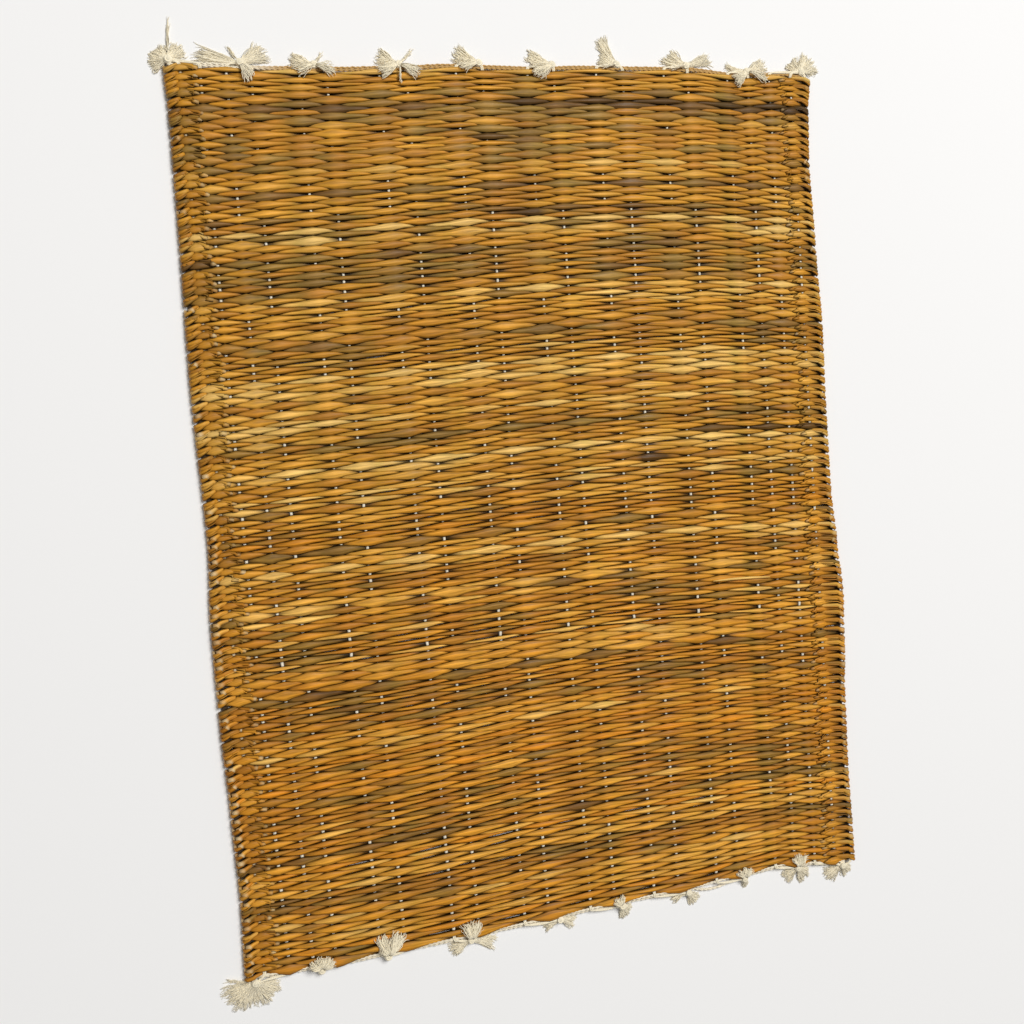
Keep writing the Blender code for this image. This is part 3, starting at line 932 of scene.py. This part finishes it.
def fibreKnots(centre, heading, reach, onMat, width, dice):
    together = min(1.0, tufts["evenReach"] / reach) * width
    heading += math.radians(dice.gauss(0, tufts["headingSpread"])) * together
    cos, sin = math.cos(heading), math.sin(heading)
    lying = tufts["onMat"] if onMat else tufts["onFloor"]
    rootZ = tufts["rootOnMat"] if onMat else tufts["rootOnFloor"]
    lockWidth, tipSpread = tufts["lockWidth"], tufts["tipSpread"]
    across = dice.uniform(-1, 1) * width
    height = dice.uniform(0.0, 1.0)
    long = reach * min(tufts["longest"], dice.gauss(*tufts["lengths"]))
    bend = dice.uniform(-1, 1) * tufts["bend"] * reach * together
    spread = dice.gauss(0, 0.5) * min(1.0, reach / tufts["evenReach"])
    waves = [dice.gauss(0, tufts["wave"]) for _ in range(4)]
    free = long - 4
    places = (  # (distance from the knot's middle, shift to the side, height)
        (0.9, across * 0.45, rootZ + (height - 0.5) * 0.9),
        (2.4, across * tufts["rootWidth"], (rootZ + lying) / 2 + 0.5 + height * 0.8),
        (4.0, across * lockWidth + waves[0], lying + 0.5 + height * 0.9),
        (4 + free * 0.35, across * lockWidth * 1.1 + bend + waves[1], lying + 0.2 + height * 1.1),
        (4 + free * 0.65, across * tipSpread * 0.8 + bend + waves[2], lying + 0.1 + height * 0.9),
        (4 + free * 0.88, across * tipSpread + bend * 0.5 + spread * 0.6 + waves[3],
         lying + 0.1 + height * 0.7),
        (long, across * tipSpread - bend * 0.3 + spread * 1.4, lying + 0.1 + height * 0.5),
    )
    radius = dice.uniform(*tufts["fibreRadius"])
    knots = []
    for away, aside, z in places:
        x = centre[0] + cos * away - sin * aside
        y = centre[1] + sin * away + cos * aside
        knots.append((x, y, z, radius, radius))
    knots[-1] = (*knots[-1][:3], radius * 0.4, radius * 0.4)
    return knots


def addKnot(shape, centre, dice):
    # three slanting turns of yarn round the gathered warp ends
    for tilt, lift, size in tufts["knotTurns"]:
        radius = tufts["knotRadius"] * size
        phase = dice.uniform(0, math.tau)
        path = []
        for step in range(tufts["knotSteps"] + 1):
            angle = phase + math.tau * step / tufts["knotSteps"]
            path.append((
                centre[0] + math.cos(angle) * radius,
                centre[1] + math.sin(angle) * radius,
                lift + math.sin(angle - phase) * tilt,
                tufts["knotYarn"],
                tufts["knotYarn"],
            ))
        tone = shaded(tufts["tone"], dice.uniform(0.88, 1.0))
        addTube(shape, path, [tone] * len(path), roundSection[6])
    core = [
        (centre[0] + 0.02 * i, centre[1], z, radius, radius)
        for i, (z, radius) in enumerate(tufts["knotCore"])
    ]
    addTube(shape, core, [shaded(tufts["tone"], 0.85)] * len(core), roundSection[8])


def addLegs(shape, centre, warps, edgeY, outward, dice):
    # the warp ends, each a pair of strands, run from the cloth to the knot
    row = mat["stemRows"] - 1 if outward > 0 else 0
    thin, thick = tufts["legRadius"]
    for warp in warps:
        x = warpPlaces(row)[warp]
        side = 1 if x > centre[0] else -1
        pull = min(1.0, abs(x - centre[0]) / 4)
        edge = edgeY(max(0.0, min(mat["width"], x)))
        for strand in (-1, 1):
            shift = strand * thin
            knots = [
                (x + shift, edge - outward * 2.4, 2.3, thin, thin),
                (x + shift, edge - outward * 0.2, 3.2, thick, thick),
                (x - side * 1.2 * pull + shift, edge + outward * 1.3, 3.0, thick, thick),
                ((x + centre[0]) / 2, edge + outward * (2.0 + strand * 0.35), 2.6, thick, thick),
                (centre[0] + side * 0.9, centre[1] + strand * 0.3, 2.9, thin, thin),
            ]
            path = smoothPath(knots, 3)
            tone = shaded(tufts["tone"], dice.uniform(0.86, 0.98))
            addTube(shape, path, [tone] * len(path), roundSection[5])


def makeTuft(name, node, tuft, warps, edgeY, outward):
    along, shift, fans = tuft
    dice = random.Random(name)
    centre = (along, edgeY(max(0.0, along)) + outward * tufts["outset"] + shift)
    shape = newShape()
    addKnot(shape, centre, dice)
    addLegs(shape, centre, warps, edgeY, outward, dice)
    for first, last, locks, reach, onMat in fans:
        fibres, width = tufts["fibres"], 1.0
        if locks == 1:
            fibres, width = tufts["spikeFibres"], tufts["spikeWidth"]
        for number in range(locks):
            heading = math.radians(first + (last - first) * number / max(1, locks - 1))
            length = reach * (tufts["shorterLock"] if number % 2 else 1)
            lockTone = shaded(tufts["tone"], dice.uniform(*tufts["lockLight"]))
            for _ in range(fibres):
                path = fibreKnots(centre, heading, length, onMat, width, dice)
                tone = shaded(lockTone, dice.uniform(*tufts["fibreLight"]))
                addTube(shape, path, [tone] * len(path), roundSection[3])
    return makePiece(name, shape, cotton, "cotton", node)


# a loose straw end that lies on the weave

looseStraw = {
    "from": (270.0, 172.6, 4.35),
    "to": (305.0, 171.4, 4.7),
    "steps": 8,
    "bend": 0.5,
    "arch": 0.35,
    "taper": 0.55,
    "halfWidth": 0.75,
    "halfHeight": 0.45,
}


def makeLooseStraw():
    shape = newShape()
    start, stop = Vector(looseStraw["from"]), Vector(looseStraw["to"])
    path = []
    for step in range(looseStraw["steps"] + 1):
        s = step / looseStraw["steps"]
        place = start.lerp(stop, s)
        bow = math.sin(math.pi * s)
        path.append((
            place.x,
            place.y + looseStraw["bend"] * bow,
            place.z + looseStraw["arch"] * bow,
            looseStraw["halfWidth"] * (1 - looseStraw["taper"] * abs(2 * s - 1) ** 2),
            looseStraw["halfHeight"],
        ))
    tone = shaded(rushTones["pale"], 1.05)
    addTube(shape, path, [tone] * len(path), roundSection[6])
    return makePiece("looseStraw", shape, rush, "rush")


evenRows, oddRows, rowTone = makeStems()
tailPiece = makeTails(rowTone)
warpPiece = makeWarps()
topCord = makeHeadingCord("headingCordTop", "heading_cord_top", topY, 1, None)
bottomCord = makeHeadingCord("headingCordBottom", "heading_cord_bottom", bottomY, -1, cords["slack"])
for number, (tuft, warps) in enumerate(zip(topTufts, warpsOfTuft), start=1):
    name, node = f"tuftTop{number:02d}", f"tuft_top_{number:02d}"
    makeTuft(name, node, tuft, warps, topY, 1)
for number, (tuft, warps) in enumerate(zip(bottomTufts, warpsOfTuft), start=1):
    name, node = f"tuftBottom{number:02d}", f"tuft_bottom_{number:02d}"
    makeTuft(name, node, tuft, warps, bottomY, -1)
straw = makeLooseStraw()
print("mat dressed")


# floor, lights and camera

studio = {
    "floorHalf": 3.0,
    "floorColour": (0.885, 0.875, 0.86, 1),
    "floorRoughness": 0.8,
    "worldLight": 0.2,
    "keyPower": 150.0,
    "keySize": 1.8,
    "keyFrom": (1.3, 1.6, 3.4),
    "fillPower": 2.0,
    "fillSize": 1.6,
    "fillFrom": (-0.9, -0.5, 1.4),
}
cameraPlace = {
    "location": (-0.1969, 0.0355, 0.6101),
    "turn": (-2.339, -16.627, -4.316),
    "lens": 42.19,
    "clipStart": 0.01,
}


def makeFloor():
    material, _, shader = newMaterial("pale_floor")
    shader.inputs["Base Color"].default_value = studio["floorColour"]
    shader.inputs["Roughness"].default_value = studio["floorRoughness"]
    shape = bmesh.new()
    bmesh.ops.create_grid(shape, x_segments=1, y_segments=1, size=studio["floorHalf"])
    mesh = bpy.data.meshes.new("floor")
    shape.to_mesh(mesh)
    shape.free()
    mesh.materials.append(material)
    floor = bpy.data.objects.new("floor", mesh)
    bpy.context.scene.collection.objects.link(floor)


def makeLight(name, place, size, power):
    data = bpy.data.lights.new(name, "AREA")
    data.size = size
    data.energy = power
    lamp = bpy.data.objects.new(name, data)
    lamp.location = place
    lamp.rotation_euler = Vector(place).to_track_quat("Z", "Y").to_euler()
    bpy.context.scene.collection.objects.link(lamp)


def makeCamera():
    data = bpy.data.cameras.new("camera")
    data.lens = cameraPlace["lens"]
    data.clip_start = cameraPlace["clipStart"]
    camera = bpy.data.objects.new("camera", data)
    camera.location = cameraPlace["location"]
    camera.rotation_euler = [math.radians(turn) for turn in cameraPlace["turn"]]
    bpy.context.scene.collection.objects.link(camera)
    bpy.context.scene.camera = camera


def makeWorld():
    world = bpy.data.worlds.new("studio")
    world.use_nodes = True
    background = world.node_tree.nodes["Background"]
    background.inputs["Color"].default_value = (1, 1, 1, 1)
    background.inputs["Strength"].default_value = studio["worldLight"]
    bpy.context.scene.world = world


makeFloor()
makeLight("keyLight", studio["keyFrom"], studio["keySize"], studio["keyPower"])
makeLight("fillLight", studio["fillFrom"], studio["fillSize"], studio["fillPower"])
makeWorld()
makeCamera()
bpy.context.scene.view_settings.view_transform = "Standard"
print("studio ready")
